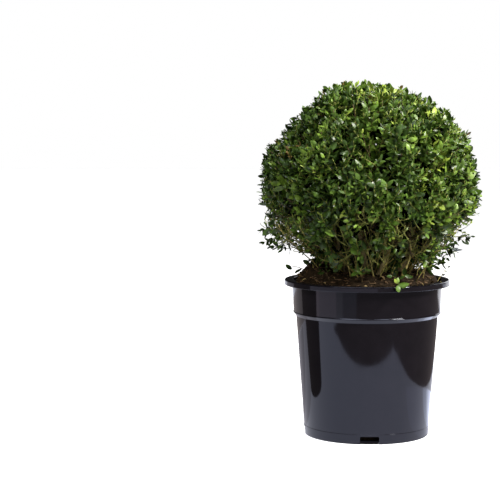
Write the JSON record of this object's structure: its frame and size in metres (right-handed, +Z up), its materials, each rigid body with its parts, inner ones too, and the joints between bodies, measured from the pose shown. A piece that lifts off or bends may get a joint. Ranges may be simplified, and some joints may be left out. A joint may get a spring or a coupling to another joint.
{
  "type": "potted box topiary ball",
  "caption": "Evergreen box shrub clipped to a ball on a clump of short stems, in a round black nursery pot with a wide lip, a stepped collar and drain notches.",
  "frame": {"origin": "centre of the flat underside of the pot", "axes": "+Z up through the ball, -Y towards the side that the picture shows, +X to the right in it"},
  "size_m": [0.3173, 0.3152, 0.5134],
  "materials": {
    "pot_plastic": "gloss",
    "compost": "matte",
    "bark": "matte",
    "foliage": "satin"
  },
  "bodies": {
    "root": {"pot": "pot_plastic", "root_ball": "compost", "stem_right": "bark", "bough_right_1": "bark", "bough_right_2": "bark", "bough_right_3": "bark", "stem_centre": "bark", "bough_centre_1": "bark", "bough_centre_2": "bark", "bough_centre_3": "bark", "stem_left": "bark", "bough_left_1": "bark", "bough_left_2": "bark", "bough_left_3": "bark", "stem_rear_right": "bark", "bough_rear_right_1": "bark", "bough_rear_right_2": "bark", "stem_rear_left": "bark", "bough_rear_left_1": "bark", "bough_rear_left_2": "bark", "bough_rear_left_3": "bark", "stem_front": "bark", "bough_front_1": "bark", "bough_front_2": "bark", "clipped_ball": "foliage", "low_shoot_left": "foliage", "low_shoot_right": "foliage", "low_shoot_front_right": "foliage", "low_shoot_front": "foliage", "low_shoot_front_left": "foliage", "low_shoot_rear": "foliage"}
  },
  "joints": []
}
